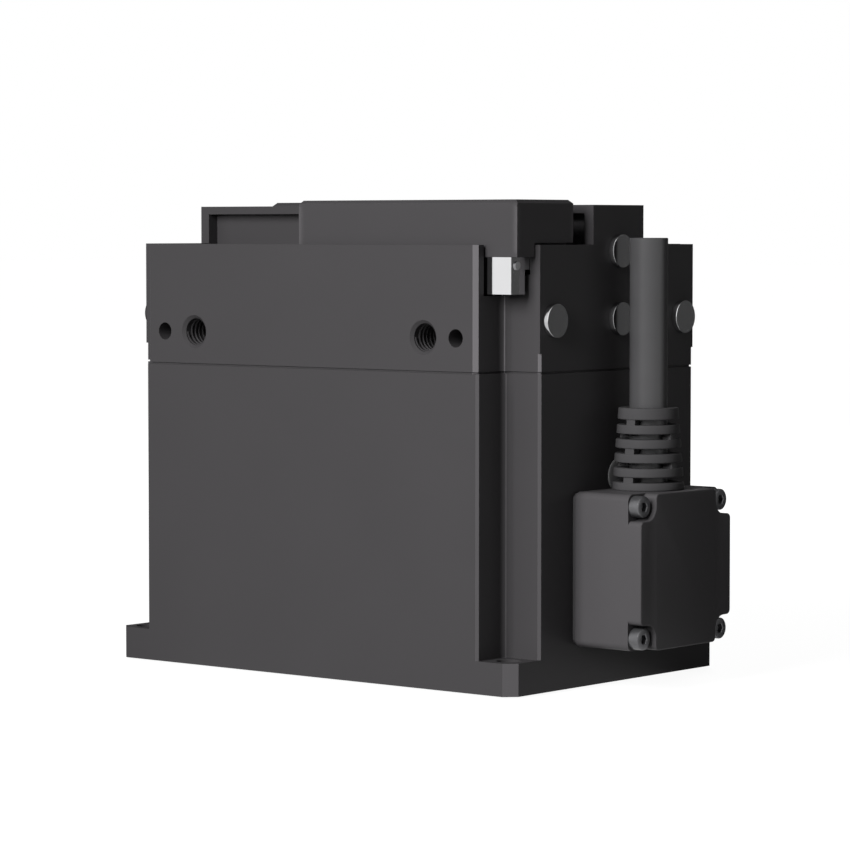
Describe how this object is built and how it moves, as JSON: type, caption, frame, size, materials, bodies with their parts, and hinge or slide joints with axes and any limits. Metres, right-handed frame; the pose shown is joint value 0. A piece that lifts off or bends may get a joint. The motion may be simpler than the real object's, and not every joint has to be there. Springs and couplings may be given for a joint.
{
  "type": "electric two finger gripper",
  "caption": "Compact electric parallel gripper: rail-guided jaws slide apart on racks driven by one pinion, on a flanged rectangular body with a side cable outlet.",
  "frame": {"origin": "centre of the mounting face, on the bolt pattern's centre", "axes": "+X along the jaws' travel towards the cable outlet, +Y into the depth, +Z from the mounting face to the jaws"},
  "size_m": [0.1112, 0.0616, 0.0863],
  "materials": {
    "anodised_body": "matte black anodised",
    "black_oxide": "black oxide",
    "ground_steel": "ground and polished",
    "brass": "satin",
    "motor_case": "satin",
    "cream_plastic": "matte",
    "circuit_board": "solder mask",
    "black_plastic": "matte",
    "plug_grey": "satin",
    "rubber": "matte",
    "cable_jacket": "satin"
  },
  "bodies": {
    "housing": {"lower_housing": "anodised_body", "bottom_cover": "anodised_body", "bottom_cover_screws": "black_oxide", "rail_housing": "anodised_body", "housing_screws": "black_oxide", "fixed_rails": "ground_steel", "fixed_rail_screws": "black_oxide", "bearing_outer_rings": "ground_steel", "gearhead": "ground_steel", "gearhead_screws": "black_oxide", "motor": "motor_case", "motor_connector": "cream_plastic", "controller_board": "circuit_board", "board_components": "black_plastic", "board_standoffs": "brass", "board_screws": "black_oxide", "end_plugs": "plug_grey", "cable_box": "anodised_body", "cable_box_gasket": "rubber", "cable_box_screws": "black_oxide", "strain_relief": "rubber", "cable": "cable_jacket"},
    "front_jaw_set": {"front_jaw": "anodised_body", "front_slide": "ground_steel", "front_rack": "ground_steel", "front_jaw_screws": "black_oxide", "front_rack_screws": "black_oxide", "front_slide_stop": "black_oxide"},
    "rear_jaw_set": {"rear_jaw": "anodised_body", "rear_slide": "ground_steel", "rear_rack": "ground_steel", "rear_jaw_screws": "black_oxide", "rear_rack_screws": "black_oxide", "rear_slide_stop": "black_oxide"},
    "front_cage_set": {"front_roller_cages": "brass", "front_rollers": "ground_steel"},
    "rear_cage_set": {"rear_roller_cages": "brass", "rear_rollers": "ground_steel"},
    "drive_set": {"pinion": "ground_steel", "drive_shaft": "ground_steel", "bearing_inner_rings": "ground_steel"}
  },
  "joints": [
    {"name": "front_jaw_slide", "type": "slide", "parent": "housing", "child": "front_jaw_set", "axis": [-1, 0, 0], "range_m": [0, 0.04]},
    {"name": "rear_jaw_slide", "type": "slide", "parent": "housing", "child": "rear_jaw_set", "axis": [1, 0, 0], "range_m": [0, 0.04]},
    {"name": "front_cage_slide", "type": "slide", "parent": "housing", "child": "front_cage_set", "axis": [-1, 0, 0], "range_m": [0, 0.02]},
    {"name": "rear_cage_slide", "type": "slide", "parent": "housing", "child": "rear_cage_set", "axis": [1, 0, 0], "range_m": [0, 0.02]},
    {"name": "pinion_turn", "type": "hinge", "parent": "housing", "child": "drive_set", "pos_m": [0, 0, 0.0647], "axis": [0, 0, -1], "range_deg": [0, 286.5]}
  ],
  "couplings": [
    {"joint": "rear_jaw_slide", "follows": "front_jaw_slide", "ratio": 1},
    {"joint": "front_cage_slide", "follows": "front_jaw_slide", "ratio": 0.5},
    {"joint": "rear_cage_slide", "follows": "front_jaw_slide", "ratio": 0.5},
    {"joint": "pinion_turn", "follows": "front_jaw_slide", "rad_per_m": 125}
  ]
}
